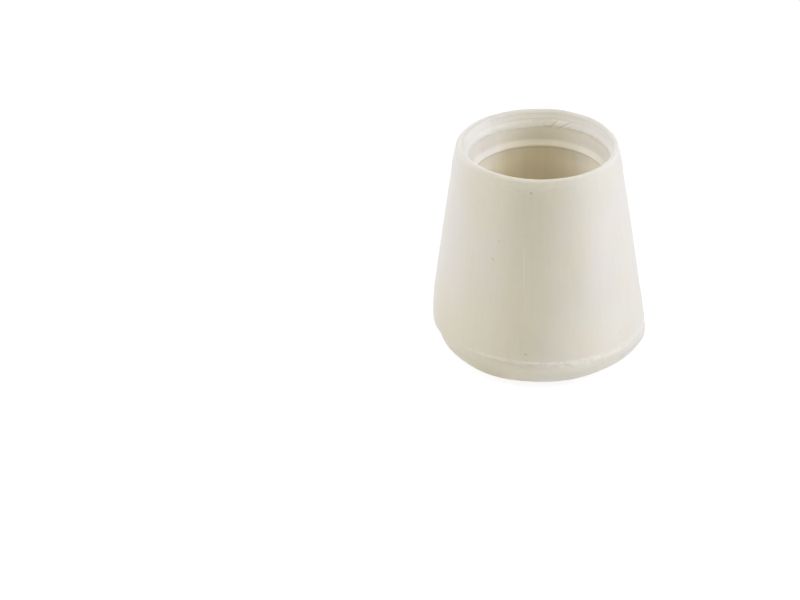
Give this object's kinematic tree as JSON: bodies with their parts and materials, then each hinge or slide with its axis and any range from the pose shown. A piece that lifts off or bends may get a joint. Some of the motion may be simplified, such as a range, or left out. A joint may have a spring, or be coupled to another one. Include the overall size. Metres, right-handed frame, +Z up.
{
  "type": "rubber foot",
  "caption": "Tapered rubber foot for a round leg: a press-on sleeve with a rounded lip and widened mouth, closed by a domed sole that stands on a tread ring.",
  "frame": {"origin": "on the ground, under the middle of the foot, on the axis of the bore", "axes": "+Z up along the axis of the bore, out of the mouth; +X towards the side where the sole's mould half stands out"},
  "size_m": [0.0357, 0.035, 0.038],
  "materials": {
    "rubber": "matt off-white moulded rubber, slightly mottled, with specks and trimmed flash"
  },
  "bodies": {
    "root": {"foot": "rubber"}
  },
  "joints": []
}
